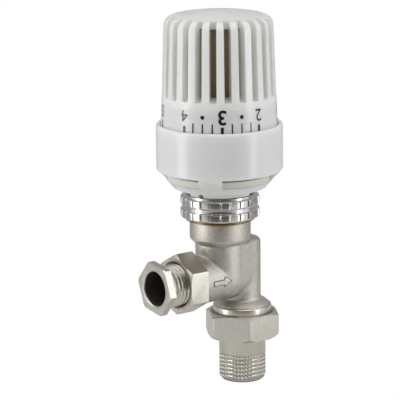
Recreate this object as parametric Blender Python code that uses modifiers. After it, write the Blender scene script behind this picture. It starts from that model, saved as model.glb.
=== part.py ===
"""Thermostatic radiator valve, axial pattern: plastic sensor head, nickelled brass body,
compression inlet for a 15 mm pipe and a half-inch union tail.

Frame: +Z runs up the head, -X is the way the inlet pipe leaves, and the origin is the
centre of the tail's end face. The head's axis is parallel to the tail's, and offset from it.
"""
import bpy
import bmesh
from math import cos, sin, pi, radians, sqrt
from mathutils import Matrix

mm = 0.001

# ---------------------------------------------------------------- clearances
GAP = 0.3 * mm              # between faces that meet
RUN = 0.3 * mm              # radial clearance of what turns, slides or screws in

# ---------------------------------------------------------------- union tail
TAIL_THREAD_D = 20.955 * mm
TAIL_THREAD_LEN = 12.6 * mm
TAIL_PLAIN_LEN = 7.2 * mm
TAIL_BORE_D = 12.6 * mm
TAIL_CHAMFER = 1.4 * mm
TAIL_COLLAR_T = 2.0 * mm
SEAL_T = 1.2 * mm
TAIL_COLLAR_STEP = 2.42 * mm  # collar and spigot stand this far outside the thread
UNION_WALL = 1.8 * mm       # least metal between the nut's bore and its flats
UNION_H = 11.7 * mm
UNION_LIP = 2.2 * mm
UNION_CHAMFER = 1.6 * mm
UNION_TURN = -27.0          # how far the hexagon stands turned, in degrees

# ---------------------------------------------------------------- valve body
HEAD_OFFSET = 12.0 * mm     # head axis from tail axis
SPIGOT_LEN = 7.3 * mm
FLARE_H = 1.8 * mm
TUBE_BORE_D = 11.2 * mm
TUBE_WALL = 2.8 * mm
TUBE_TOP_T = 1.8 * mm
TUBE_TOP_ROUND = 1.4 * mm
PORT_RISE = 15.6 * mm       # inlet axis above the polished ring
PORT_WALL = 3.1 * mm        # round the pipe socket
CHAMBER_RISE = 15.5 * mm    # foot of the neck above the inlet axis
NECK_LEN = 10.7 * mm
NECK_CHAMFER = 2.0 * mm
NECK_BORE_D = 20.0 * mm
NECK_WALL = 3.5 * mm
CHAMBER_WALL = 1.2 * mm
SEAT_D = 9.0 * mm
SEAT_RISE = 9.3 * mm        # seat face above the inlet axis

# ---------------------------------------------------------------- compression inlet
PIPE_D = 15.0 * mm
PIPE_SLIP = 0.1 * mm        # radial slip of the pipe in its socket
INLET_BORE_D = 13.0 * mm
SOCKET_WALL = 2.15 * mm     # least metal between the thread and the flats
SOCKET_OUT = 25.0 * mm      # mouth of the socket from the head axis
SOCKET_LEN = 9.5 * mm
SOCKET_CHAMFER = 1.2 * mm
SOCKET_TURN = 30.0          # puts two flats upright
GLAND_WALL = 1.7 * mm       # thread's crest outside the pipe's bore
GLAND_SHOWN = 8.1 * mm      # thread left showing between the hexagons
GLAND_IN = 5.5 * mm         # thread inside the socket
GLAND_STEP = 1.3 * mm       # flats of the hexagon outside the thread
GLAND_HEX_T = 3.3 * mm
GLAND_CHAMFER = 0.8 * mm
GLAND_TURN = -9.0           # how far the hexagon stands turned, in degrees
OLIVE_LEN = 5.0 * mm
OLIVE_T = 0.9 * mm
PIPE_STOP = 2.0 * mm        # pipe socket past the olive

# ---------------------------------------------------------------- insert and stem
INSERT_FLANGE_STEP = 0.8 * mm
INSERT_FLANGE_T = 0.8 * mm
M30_D = 29.8 * mm
M30_LEN = 5.7 * mm
INSERT_HANG = 9.6 * mm      # insert below the neck's top face
INSERT_CAVITY_D = 12.6 * mm
INSERT_ROOF_T = 1.3 * mm
ORING_R = 0.75 * mm
STEM_D = 4.0 * mm
STEM_ORING_R = 0.85 * mm
GLAND_SCREW_D = 11.8 * mm
GLAND_SCREW_AF = 11.0 * mm
GLAND_SCREW_LEN = 2.4 * mm
GLAND_SCREW_HEX_T = 2.6 * mm
STEM_HEAD_D = 6.8 * mm
STEM_HEAD_T = 1.0 * mm
WASHER_D = 10.8 * mm
WASHER_T = 1.0 * mm
PLUG_D = 11.8 * mm
PLUG_T = 1.8 * mm
PLUG_LIFT = 3.0 * mm        # washer above the seat at setting 3
SPRING_SEAT_T = 1.0 * mm
SPRING_SEAT_RISE = 0.8 * mm
RETURN_SPRING_LEN = 5.5 * mm
RETURN_SPRING_D = 8.0 * mm
RETURN_WIRE_R = 0.35 * mm
STEM_COLLAR_D = 10.4 * mm
STEM_COLLAR_T = 0.8 * mm
STEM_PROUD = 6.5 * mm       # stem above the insert's top face

# ---------------------------------------------------------------- coupling nut
NUT_WALL = 2.2 * mm
NUT_TOP_STEP = 1.4 * mm
NUT_TOP_H = 1.1 * mm
NUT_LIP_T = 2.6 * mm
NUT_GROOVE_W = 1.6 * mm
NUT_GROOVE_DEPTH = 0.8 * mm
NUT_BAND_H = 4.1 * mm       # lower band

# ---------------------------------------------------------------- guide core
CORE_STEP = 2.4 * mm        # flange that the nut's lip bears on
CORE_FLANGE_T = 2.0 * mm
CORE_WALL = 2.7 * mm
CORE_UPPER_WALL = 1.7 * mm
CORE_SEAT_STEP = 6.3 * mm
CORE_SEAT_T = 2.0 * mm
CORE_FLOOR_T = 3.0 * mm
CORE_BOSS_STEP = 1.3 * mm
CORE_BOSS_LEN = 17.2 * mm
CORE_TOP_LEN = 13.3 * mm
KEY_W = 4.0 * mm

# ---------------------------------------------------------------- base collar
COLLAR_WALL = 1.8 * mm
COLLAR_SIDE_H = 20.0 * mm
COLLAR_CONE_STEP = 7.5 * mm # side of the collar to the foot of its steep cone
COLLAR_CONE_H = 8.4 * mm
COLLAR_FOOT_H = 1.7 * mm
COLLAR_FOOT_STEP = 4.0 * mm # foot outside the core's bore
COLLAR_LIP_H = 0.7 * mm
COLLAR_FLOOR_T = 2.0 * mm
COLLAR_RIM_ROUND = 1.6 * mm
WINDOW_ARC = 67.5           # four vent windows in the cone, in degrees
WINDOW_DEPTH = 1.0 * mm
LIP_ARC = 102.0             # each of the two lip segments under the foot, in degrees
LIP_HANG = 2.7 * mm

# ---------------------------------------------------------------- handwheel
WHEEL_CLEAR = 0.5 * mm      # scale band inside the collar
WHEEL_STEP = 0.55 * mm      # foot of the ribs inside the scale band
WHEEL_DRAFT = 1.05 * mm     # head of the ribs inside their foot
WHEEL_SUNK = 17.0 * mm      # skirt inside the collar
BAND_H = 12.6 * mm          # scale band above the rim
RIB_H = 34.0 * mm
RIB_N = 24
SLOT_W = 3.1 * mm
RIB_DEPTH = 5.0 * mm
WHEEL_ROOM = 3.3 * mm       # between the thread tube and the ribs
DOME_H = 2.6 * mm           # apex above the head of the slots
CORNER_R = 6.0 * mm
CROWN = 0.7 * mm            # rise of the crown over the corner's edge
WHEEL_WALL = 1.8 * mm
WHEEL_TUBE_T = 1.6 * mm
WHEEL_LIP_T = 1.8 * mm
RING_T = 1.4 * mm
RING_GROOVE = 0.7 * mm

# ---------------------------------------------------------------- sensor
CARRIER_WALL = 1.2 * mm
CARRIER_SKIRT = 10.0 * mm
CARRIER_FLOOR_T = 2.0 * mm
CARRIER_CUP_H = 27.6 * mm
CARRIER_RISE = 2.4 * mm     # carrier above the retaining ring at setting 3
CARRIER_LINING = 0.7 * mm   # cup is this much thicker than the skirt
CAPSULE_LEN = 19.7 * mm
CAPSULE_WALL = 0.9 * mm
BELLOWS_IN = 3.7 * mm       # bellows inside the capsule's outside
BELLOWS_LEN = 16.4 * mm
BELLOWS_WALL = 0.6 * mm
PLEAT = 1.4 * mm
PLEAT_N = 5
PIN_D = 5.0 * mm
PIN_HEAD_T = 1.5 * mm
OVER_SPRING_IN = 3.4 * mm   # spring's middle inside the capsule's outside
OVER_SPRING_LEN = 5.0 * mm
OVER_WIRE_R = 0.35 * mm
RETAINER_T = 1.4 * mm

# ---------------------------------------------------------------- facets
FINE = 40
ROUND = 28
SMALL = 14

# ================================================================ levels up the object
union_z0 = TAIL_THREAD_LEN + TAIL_PLAIN_LEN
union_z1 = union_z0 + UNION_H
tail_collar_z0 = union_z0 + UNION_LIP + GAP
tail_top = tail_collar_z0 + TAIL_COLLAR_T
seal_z0 = tail_top + GAP
spigot_z0 = seal_z0 + SEAL_T + GAP
ring_top = spigot_z0 + SPIGOT_LEN
port_z = ring_top + PORT_RISE
neck_z0 = port_z + CHAMBER_RISE
neck_top = neck_z0 + NECK_LEN
tube_top = neck_z0 - 0.3 * mm
seat_z = port_z + SEAT_RISE

insert_z0 = neck_top - INSERT_HANG
flange_z0 = neck_top + GAP
flange_z1 = flange_z0 + INSERT_FLANGE_T
insert_top = flange_z1 + M30_LEN
washer_z0 = seat_z + PLUG_LIFT
plug_z0 = washer_z0 + WASHER_T + GAP
spring_seat_z0 = insert_z0 + SPRING_SEAT_RISE
spring_z0 = spring_seat_z0 + SPRING_SEAT_T + GAP
stem_collar_z0 = spring_z0 + RETURN_SPRING_LEN + GAP
STEM_UP = 1.5 * mm          # most that the stem rises from setting 3
cavity_top = stem_collar_z0 + STEM_COLLAR_T + STEM_UP + GAP
pocket_z0 = cavity_top + INSERT_ROOF_T
pocket_top = pocket_z0 + 2 * STEM_ORING_R + GAP + 0.2 * mm
screw_z0 = pocket_top + GAP
screw_shoulder = screw_z0 + GLAND_SCREW_LEN
stem_top = insert_top + STEM_PROUD

core_z0 = insert_top + GAP
nut_z0 = flange_z1 + GAP
nut_lip_z0 = core_z0 + CORE_FLANGE_T + GAP
nut_top = nut_lip_z0 + NUT_LIP_T
lip_z0 = nut_top + GAP
foot_z0 = lip_z0 + LIP_HANG - COLLAR_FLOOR_T
floor_z0 = lip_z0 + LIP_HANG
floor_z1 = floor_z0 + COLLAR_FLOOR_T
cone_z0 = lip_z0 + COLLAR_LIP_H + COLLAR_FOOT_H
cone_z1 = cone_z0 + COLLAR_CONE_H
rim_z = cone_z1 + COLLAR_SIDE_H
core_seat_z0 = floor_z1 + GAP
core_seat_z1 = core_seat_z0 + CORE_SEAT_T
boss_top = core_seat_z1 + CORE_BOSS_LEN
core_floor_z0 = stem_top + 6.5 * mm
core_top = boss_top + CORE_TOP_LEN

wheel_lip_z0 = boss_top + GAP
wheel_lip_z1 = wheel_lip_z0 + WHEEL_LIP_T
ring_z0 = wheel_lip_z1 + GAP
carrier_z0 = ring_z0 + RING_T + CARRIER_RISE
carrier_floor_z0 = carrier_z0 + CARRIER_SKIRT
carrier_floor_z1 = carrier_floor_z0 + CARRIER_FLOOR_T
carrier_top = carrier_floor_z1 + CARRIER_CUP_H
capsule_z0 = carrier_floor_z1 + GAP
capsule_top = capsule_z0 + CAPSULE_LEN
bellows_z0 = capsule_z0 + GAP
bellows_top = bellows_z0 + BELLOWS_LEN
pin_z0 = stem_top + GAP
pin_top = bellows_top - BELLOWS_WALL - GAP
over_z0 = capsule_top + GAP
retainer_z0 = over_z0 + OVER_SPRING_LEN + GAP
wheel_z0 = rim_z - WHEEL_SUNK
slot_z0 = rim_z + BAND_H
slot_z1 = slot_z0 + RIB_H
wheel_top = slot_z1 + DOME_H

# radii that several pieces share
tail_r = TAIL_THREAD_D / 2
spigot_r = tail_r + TAIL_COLLAR_STEP
union_bore_r = spigot_r + RUN
tube_r = TUBE_BORE_D / 2 + TUBE_WALL
neck_bore_r = NECK_BORE_D / 2
neck_r = neck_bore_r + NECK_WALL
chamber_r = neck_bore_r + CHAMBER_WALL
insert_r = neck_bore_r - RUN
stem_hole_r = STEM_D / 2 + RUN
pipe_r = PIPE_D / 2 + PIPE_SLIP
port_r = pipe_r + PORT_WALL
gland_r = pipe_r + GLAND_WALL
gland_bore_r = gland_r + RUN
socket_af = 2 * (gland_bore_r + SOCKET_WALL)
gland_af = 2 * (gland_r + GLAND_STEP)
m30_bore_r = M30_D / 2 + RUN
core_flange_r = m30_bore_r - 2 * RUN
core_r = core_flange_r - CORE_STEP
core_upper_r = core_r - CORE_UPPER_WALL
carrier_in_r = core_r + RUN
carrier_r = carrier_in_r + CARRIER_WALL
cup_r = carrier_in_r - CARRIER_LINING
capsule_r = cup_r - RUN - 0.1 * mm
bellows_r = capsule_r - BELLOWS_IN
bellows_in_r = bellows_r - PLEAT - BELLOWS_WALL
wheel_tube_r = carrier_r + RUN
wheel_tube_out_r = wheel_tube_r + WHEEL_TUBE_T
rib_in_r = wheel_tube_out_r + WHEEL_ROOM
rib_top_r = rib_in_r + RIB_DEPTH
rib_foot_r = rib_top_r + WHEEL_DRAFT
wheel_r = rib_foot_r + WHEEL_STEP
collar_bore_r = wheel_r + WHEEL_CLEAR
collar_r = collar_bore_r + COLLAR_WALL

for old in list(bpy.data.objects):
    bpy.data.objects.remove(old, do_unlink=True)

parts = bpy.data.collections.new("thermostatic_radiator_valve")
cutters = bpy.data.collections.new("cutters")
bpy.context.scene.collection.children.link(parts)
bpy.context.scene.collection.children.link(cutters)

head_axis = bpy.data.objects.new("head_axis", None)
head_axis.location = (-HEAD_OFFSET, 0, 0)
parts.objects.link(head_axis)
inlet_axis = bpy.data.objects.new("inlet_axis", None)
inlet_axis.location = (-HEAD_OFFSET, 0, port_z)
inlet_axis.rotation_euler = (0, -pi / 2, 0)
parts.objects.link(inlet_axis)
tail_axis = bpy.data.objects.new("tail_axis", None)
parts.objects.link(tail_axis)

# surface finishes: colour, metallic, roughness
WHITE_PLASTIC = ((0.80, 0.80, 0.79), 0.0, 0.40)
GREY_PLASTIC = ((0.30, 0.27, 0.20), 0.0, 0.55)
CHROME = ((0.80, 0.79, 0.77), 1.0, 0.10)
SATIN_NICKEL = ((0.58, 0.56, 0.51), 1.0, 0.38)
BRASS = ((0.72, 0.55, 0.26), 1.0, 0.30)
STEEL = ((0.60, 0.60, 0.58), 1.0, 0.25)
RUBBER = ((0.02, 0.02, 0.02), 0.0, 0.75)
COPPER = ((0.70, 0.42, 0.25), 1.0, 0.35)


def finish(obj, look):
    """Give a piece a Principled material of its own."""
    colour, metallic, roughness = look
    mat = bpy.data.materials.new(obj.name + "_finish")
    mat.use_nodes = True
    shader = mat.node_tree.nodes["Principled BSDF"]
    shader.inputs["Base Color"].default_value = (*colour, 1)
    shader.inputs["Metallic"].default_value = metallic
    shader.inputs["Roughness"].default_value = roughness
    obj.data.materials.append(mat)


def add(name, mesh, axis, look=None):
    """Place a mesh on an axis: a part when it has a finish, otherwise a cutter."""
    obj = bpy.data.objects.new(name, mesh)
    obj.parent = axis
    if look is None:
        cutters.objects.link(obj)
        obj.hide_render = True
        obj.display_type = "WIRE"
    else:
        parts.objects.link(obj)
        finish(obj, look)
    return obj


def turned(name, profile, steps, axis, look=None, phase=0.0):
    """A profile (radius, height) spun about the axis. It runs down its outer side.

    A profile that starts and ends on the axis makes a solid of revolution, and any
    other is closed into a ring. The phase turns the facets, as a share of one facet,
    so that crossing pieces don't meet edge on edge.
    """
    first = 2 * pi * phase / steps
    mesh = bpy.data.meshes.new(name)
    edges = [(i, i + 1) for i in range(len(profile) - 1)]
    if profile[0][0] > 0:
        edges.append((len(profile) - 1, 0))
    points = [(r * cos(first), r * sin(first), z) for r, z in profile]
    mesh.from_pydata(points, edges, [])
    obj = add(name, mesh, axis, look)
    screw = obj.modifiers.new("spin", "SCREW")
    screw.axis = "Z"
    screw.angle = 2 * pi
    screw.steps = steps
    screw.render_steps = steps
    screw.use_merge_vertices = True
    screw.merge_threshold = 0.00001
    screw.use_smooth_shade = True
    return obj


def ring(name, r_in, r_out, z0, z1, steps, axis, look=None):
    return turned(name, [(r_out, z1), (r_out, z0), (r_in, z0), (r_in, z1)], steps, axis, look)


def disc(name, r, z0, z1, steps, axis, look=None, phase=0.0):
    return turned(name, [(0, z1), (r, z1), (r, z0), (0, z0)], steps, axis, look, phase)


def prism(name, af, z0, z1, turn, axis):
    """Hexagonal prism of a width across flats, as a cutter."""
    mesh = bpy.data.meshes.new(name)
    bm = bmesh.new()
    spin = Matrix.Rotation(radians(turn), 4, "Z")
    middle = Matrix.Translation((0, 0, (z0 + z1) / 2))
    radius = af / sqrt(3)
    bmesh.ops.create_cone(bm, cap_ends=True, segments=6, radius1=radius, radius2=radius,
                          depth=z1 - z0, matrix=middle @ spin)
    bm.to_mesh(mesh)
    bm.free()
    return add(name, mesh, axis)


def block(name, size, centre, turn, axis):
    """Box turned about the axis, as a cutter."""
    mesh = bpy.data.meshes.new(name)
    bm = bmesh.new()
    place = Matrix.Rotation(radians(turn), 4, "Z") @ Matrix.Translation(centre)
    bmesh.ops.create_cube(bm, size=1, matrix=place @ Matrix.Diagonal((*size, 1)))
    bm.to_mesh(mesh)
    bm.free()
    return add(name, mesh, axis)


def sector(name, r0, r1, z0, z1, mid, arc, axis):
    """Sector of a ring between two angles, in degrees, as a cutter."""
    mesh = bpy.data.meshes.new(name)
    bm = bmesh.new()
    start = bm.verts.new((r0, 0, z0)), bm.verts.new((r1, 0, z0))
    top = bm.verts.new((r1, 0, z1)), bm.verts.new((r0, 0, z1))
    face = bm.faces.new((*start, *top))
    bmesh.ops.rotate(bm, verts=bm.verts, cent=(0, 0, 0),
                     matrix=Matrix.Rotation(radians(mid - arc / 2), 3, "Z"))
    bmesh.ops.spin(bm, geom=[face, *face.edges, *face.verts], cent=(0, 0, 0), axis=(0, 0, 1),
                   angle=radians(arc), steps=max(2, round(arc / 360 * FINE)))
    bmesh.ops.recalc_face_normals(bm, faces=bm.faces)
    bm.to_mesh(mesh)
    bm.free()
    return add(name, mesh, axis)


def combine(obj, other, operation):
    step = obj.modifiers.new(other.name, "BOOLEAN")
    step.operation = operation
    step.solver = "EXACT"
    step.object = other


def cut(obj, *others):
    for other in others:
        combine(obj, other, "DIFFERENCE")


def join(obj, *others):
    for other in others:
        combine(obj, other, "UNION")


def torus(name, ring_r, wire_r, z, axis, look):
    """O-ring lying flat at a height."""
    bpy.ops.mesh.primitive_torus_add(major_radius=ring_r, minor_radius=wire_r,
                                     major_segments=ROUND, minor_segments=6)
    obj = bpy.context.object
    obj.name = name
    obj.location.z = z
    obj.parent = axis
    for home in list(obj.users_collection):
        home.objects.unlink(obj)
    parts.objects.link(obj)
    finish(obj, look)


def coil(name, mean_r, wire_r, z0, z1, turns, axis, look):
    """Compression spring as a helical wire, its outside faces at z0 and z1."""
    per_turn = 10
    count = round(per_turn * turns)
    curve = bpy.data.curves.new(name, "CURVE")
    curve.dimensions = "3D"
    curve.bevel_depth = wire_r
    curve.bevel_resolution = 1
    curve.use_fill_caps = True
    line = curve.splines.new("POLY")
    line.points.add(count)
    for i in range(count + 1):
        angle = 2 * pi * i / per_turn
        z = z0 + wire_r + (z1 - z0 - 2 * wire_r) * i / count
        line.points[i].co = (mean_r * cos(angle), mean_r * sin(angle), z, 1)
    obj = bpy.data.objects.new(name, curve)
    obj.parent = axis
    parts.objects.link(obj)
    finish(obj, look)


def arc(centre_r, centre_z, radius, start, stop, count):
    """Points of an arc in a profile, by angle in degrees from outwards to up."""
    angles = [radians(start + (stop - start) * i / count) for i in range(count + 1)]
    return [(centre_r + radius * cos(a), centre_z + radius * sin(a)) for a in angles]


# ================================================================ union tail
def union_tail():
    """Tailpiece that screws into the radiator, its gasket and the nut that draws it up."""
    r = tail_r
    bore = TAIL_BORE_D / 2
    collar = spigot_r - GAP
    turned("tailpiece", [
        (collar, tail_top), (collar, tail_collar_z0), (r, tail_collar_z0), (r, TAIL_CHAMFER),
        (r - TAIL_CHAMFER, 0), (bore, 0), (bore, tail_top)], ROUND, tail_axis, SATIN_NICKEL)
    ring("tail_seal", bore + GAP, collar, seal_z0, seal_z0 + SEAL_T, ROUND, tail_axis, RUBBER)

    union_af = 2 * (union_bore_r + UNION_WALL)
    corner = union_af / sqrt(3)
    nut_bore = union_bore_r
    lip_bore = r + RUN
    edge = corner - UNION_CHAMFER
    nut = turned("union_nut", [
        (nut_bore, union_z1), (edge, union_z1), (corner + GAP, union_z1 - UNION_CHAMFER / 2),
        (corner + GAP, union_z0 + UNION_CHAMFER), (edge - UNION_CHAMFER, union_z0),
        (lip_bore, union_z0), (lip_bore, union_z0 + UNION_LIP),
        (nut_bore, union_z0 + UNION_LIP)], FINE, tail_axis, SATIN_NICKEL)
    hexagon = prism("union_hexagon", union_af, union_z0 - mm, union_z1 + mm, UNION_TURN,
                    tail_axis)
    combine(nut, hexagon, "INTERSECT")


# ================================================================ valve body
def web(name, z0, z1):
    """Oval column that joins the chamber to the tail tube, as a cutter."""
    mesh = bpy.data.meshes.new(name)
    bm = bmesh.new()
    ends = ((-HEAD_OFFSET, chamber_r - 0.15 * mm), (0, tube_r - 0.15 * mm))
    for z in (z0, z1):
        for x, r in ends:
            place = Matrix.Translation((x, 0, z)) @ Matrix.Rotation(0.45 * 2 * pi / ROUND, 4, "Z")
            bmesh.ops.create_circle(bm, segments=ROUND, radius=r, matrix=place)
    hull = bmesh.ops.convex_hull(bm, input=bm.verts, use_existing_faces=False)
    bmesh.ops.delete(bm, geom=[v for v in hull["geom_interior"] if v.is_valid], context="VERTS")
    bmesh.ops.recalc_face_normals(bm, faces=bm.faces)
    bm.to_mesh(mesh)
    bm.free()
    return add(name, mesh, tail_axis)


def valve_body():
    """Hot-pressed brass body: head column, inlet barrel with its hexagon, and tail tube."""
    body = turned("valve_body", [
        (0, neck_top), (neck_r, neck_top), (neck_r, neck_z0 + NECK_CHAMFER),
        (neck_r - NECK_CHAMFER, neck_z0), (chamber_r, neck_z0), (chamber_r, port_z)]
        + arc(0, port_z, chamber_r, 0, -90, 8)[1:-1] + [(0, port_z - chamber_r)],
        ROUND, head_axis, SATIN_NICKEL)
    hexagon_in = SOCKET_OUT - SOCKET_LEN
    barrel = disc("inlet_barrel", port_r, -mm, hexagon_in + mm, ROUND, inlet_axis, None, 0.5)
    corner = socket_af / sqrt(3)
    socket = turned("socket_round", [
        (0, SOCKET_OUT), (corner - SOCKET_CHAMFER, SOCKET_OUT),
        (corner + GAP, SOCKET_OUT - SOCKET_CHAMFER),
        (corner + GAP, hexagon_in + SOCKET_CHAMFER / 2), (corner - SOCKET_CHAMFER / 2, hexagon_in),
        (0, hexagon_in)], ROUND, inlet_axis, None, 0.25)
    flats = prism("socket_hexagon", socket_af, hexagon_in - mm, SOCKET_OUT + mm, SOCKET_TURN,
                  inlet_axis)
    combine(socket, flats, "INTERSECT")
    tail_tube = turned("tail_tube", [
        (0, tube_top)] + arc(tube_r - TUBE_TOP_ROUND, tube_top - TUBE_TOP_ROUND,
                             TUBE_TOP_ROUND, 90, 0, 3)
        + [(tube_r, ring_top + FLARE_H), (spigot_r, ring_top), (spigot_r, spigot_z0),
           (0, spigot_z0)],
        ROUND, tail_axis, None, 0.35)
    join(body, tail_tube, web("waist", port_z - 2 * mm, tube_top - TUBE_TOP_ROUND), barrel, socket)

    thread_end = SOCKET_OUT - GLAND_IN
    olive_end = thread_end - OLIVE_LEN
    olive_room = pipe_r + OLIVE_T + 2 * GAP
    stop = olive_end - PIPE_STOP
    socket_bore = turned("socket_bore", [
        (0, SOCKET_OUT + mm), (gland_bore_r, SOCKET_OUT + mm), (gland_bore_r, thread_end - GAP),
        (olive_room, thread_end - 2 * GAP), (olive_room, olive_end - GAP),
        (pipe_r, olive_end - 2 * GAP), (pipe_r, stop), (INLET_BORE_D / 2, stop),
        (INLET_BORE_D / 2, -mm), (0, -mm)], ROUND, inlet_axis, None, 0.3)
    seat_hole = disc("seat_hole", SEAT_D / 2, port_z, seat_z + mm, SMALL, head_axis, None, 0.2)
    neck_bore = disc("neck_bore", neck_bore_r, seat_z, neck_top + mm, ROUND, head_axis, None, 0.3)
    tail_bore = disc("tail_bore", TUBE_BORE_D / 2, spigot_z0 - mm, tube_top - TUBE_TOP_T,
                     ROUND, tail_axis, None, 0.4)
    cut(body, socket_bore, seat_hole, neck_bore, tail_bore)


# ================================================================ compression inlet
def compression_inlet():
    """Hexagon-headed compression screw and the olive that it squeezes on the pipe."""
    thread_end = SOCKET_OUT - GLAND_IN
    face = SOCKET_OUT + GLAND_SHOWN
    outer = face + GLAND_HEX_T
    corner = gland_af / sqrt(3)
    mouth = pipe_r + 0.4 * mm
    nut = turned("gland_nut", [
        (corner - GLAND_CHAMFER, outer), (corner + GAP, outer - GLAND_CHAMFER),
        (corner + GAP, face), (gland_r, face), (gland_r, thread_end),
        (pipe_r, thread_end), (pipe_r, outer - 0.4 * mm), (mouth, outer)],
        ROUND, inlet_axis, SATIN_NICKEL)
    hexagon = prism("gland_hexagon", gland_af, face - GAP, outer + mm, GLAND_TURN, inlet_axis)
    shank = disc("gland_shank", gland_r + GAP, thread_end - mm, face, ROUND, inlet_axis)
    join(hexagon, shank)
    combine(nut, hexagon, "INTERSECT")
    low = thread_end - GAP - OLIVE_LEN
    high = thread_end - GAP
    bevel = OLIVE_LEN / 4
    turned("olive", [
        (pipe_r + OLIVE_T, high - bevel), (pipe_r + OLIVE_T, low + bevel),
        (pipe_r + OLIVE_T / 3, low), (pipe_r, low), (pipe_r, high),
        (pipe_r + OLIVE_T / 3, high)], ROUND, inlet_axis, BRASS)


# ================================================================ insert and stem
def valve_insert():
    """Brass insert in the neck, with its seals, its spring and the stem that it guides."""
    cavity = INSERT_CAVITY_D / 2
    m30 = M30_D / 2
    flange = m30 + INSERT_FLANGE_STEP
    pocket = STEM_D / 2 + 2 * STEM_ORING_R + 2 * GAP
    screw_bore = GLAND_SCREW_D / 2 + RUN
    groove_mid = (insert_z0 + flange_z0) / 2
    groove_half = ORING_R + GAP
    groove_r = insert_r - 2 * ORING_R - 0.1 * mm
    turned("insert_housing", [
        (screw_bore, insert_top), (m30, insert_top), (m30, flange_z1), (flange, flange_z1),
        (flange, flange_z0), (insert_r, flange_z0), (insert_r, groove_mid + groove_half),
        (groove_r, groove_mid + groove_half), (groove_r, groove_mid - groove_half),
        (insert_r, groove_mid - groove_half), (insert_r, insert_z0), (cavity, insert_z0),
        (cavity, cavity_top), (stem_hole_r, cavity_top), (stem_hole_r, pocket_z0),
        (pocket, pocket_z0), (pocket, pocket_top), (screw_bore, pocket_top)],
        ROUND, head_axis, BRASS)
    torus("insert_oring", groove_r + 0.8 * GAP + ORING_R, ORING_R, groove_mid, head_axis, RUBBER)

    screw = GLAND_SCREW_D / 2
    corner = GLAND_SCREW_AF / sqrt(3)
    hexagon_top = insert_top + GAP + GLAND_SCREW_HEX_T
    screw_top = hexagon_top
    stuffing = turned("stuffing_screw", [
        (corner - 0.5 * mm, screw_top), (corner + GAP, screw_top - 0.5 * mm),
        (corner + GAP, insert_top + GAP), (screw, insert_top + GAP), (screw, screw_z0),
        (stem_hole_r, screw_z0), (stem_hole_r, screw_top)], SMALL, head_axis, BRASS)
    key = prism("stuffing_hexagon", GLAND_SCREW_AF, insert_top + GAP / 2, screw_top + mm, 0,
                head_axis)
    shank = disc("stuffing_shank", screw + GAP, screw_z0 - mm, insert_top + GAP, SMALL, head_axis)
    join(key, shank)
    combine(stuffing, key, "INTERSECT")
    torus("stem_oring", STEM_D / 2 + GAP / 2 + STEM_ORING_R, STEM_ORING_R,
          (pocket_z0 + pocket_top) / 2, head_axis, RUBBER)

    stem = STEM_D / 2
    head = STEM_HEAD_D / 2
    head_z1 = washer_z0 - GAP
    turned("stem", [
        (0, stem_top), (stem / 2, stem_top - 0.2 * mm), (stem, stem_top - 0.8 * mm),
        (stem, head_z1), (head, head_z1), (head, head_z1 - STEM_HEAD_T),
        (0, head_z1 - STEM_HEAD_T)], SMALL, head_axis, STEEL)
    ring("plug_washer", stem_hole_r, WASHER_D / 2, washer_z0, washer_z0 + WASHER_T, SMALL,
         head_axis, RUBBER)
    ring("valve_plug", stem_hole_r, PLUG_D / 2, plug_z0, plug_z0 + PLUG_T, SMALL, head_axis,
         BRASS)
    ring("spring_seat", stem_hole_r, cavity - GAP, spring_seat_z0,
         spring_seat_z0 + SPRING_SEAT_T, SMALL, head_axis, STEEL)
    coil("return_spring", RETURN_SPRING_D / 2, RETURN_WIRE_R, spring_z0,
         spring_z0 + RETURN_SPRING_LEN, 2.5, head_axis, STEEL)
    ring("stem_collar", stem + GAP / 2, STEM_COLLAR_D / 2, stem_collar_z0,
         stem_collar_z0 + STEM_COLLAR_T, SMALL, head_axis, STEEL)


# ================================================================ head, fixed pieces
def coupling_nut():
    """Knurled M30 nut that hangs on the core's flange and draws it on to the insert."""
    outer = m30_bore_r + NUT_WALL
    waist = outer - NUT_GROOVE_DEPTH
    top = outer - NUT_TOP_STEP
    groove_z0 = nut_z0 + NUT_BAND_H
    groove_z1 = groove_z0 + NUT_GROOVE_W
    shoulder = nut_top - NUT_TOP_H
    bevel = 0.4 * mm
    turned("coupling_nut", [
        (core_r + RUN, nut_top), (top, nut_top), (top, shoulder), (outer - bevel, shoulder),
        (outer, shoulder - bevel), (outer, groove_z1 + bevel), (waist, groove_z1),
        (waist, groove_z0), (outer, groove_z0 - bevel), (outer, nut_z0 + bevel),
        (outer - bevel, nut_z0), (m30_bore_r, nut_z0), (m30_bore_r, nut_lip_z0),
        (core_r + RUN, nut_lip_z0)], FINE, head_axis, CHROME)


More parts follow.
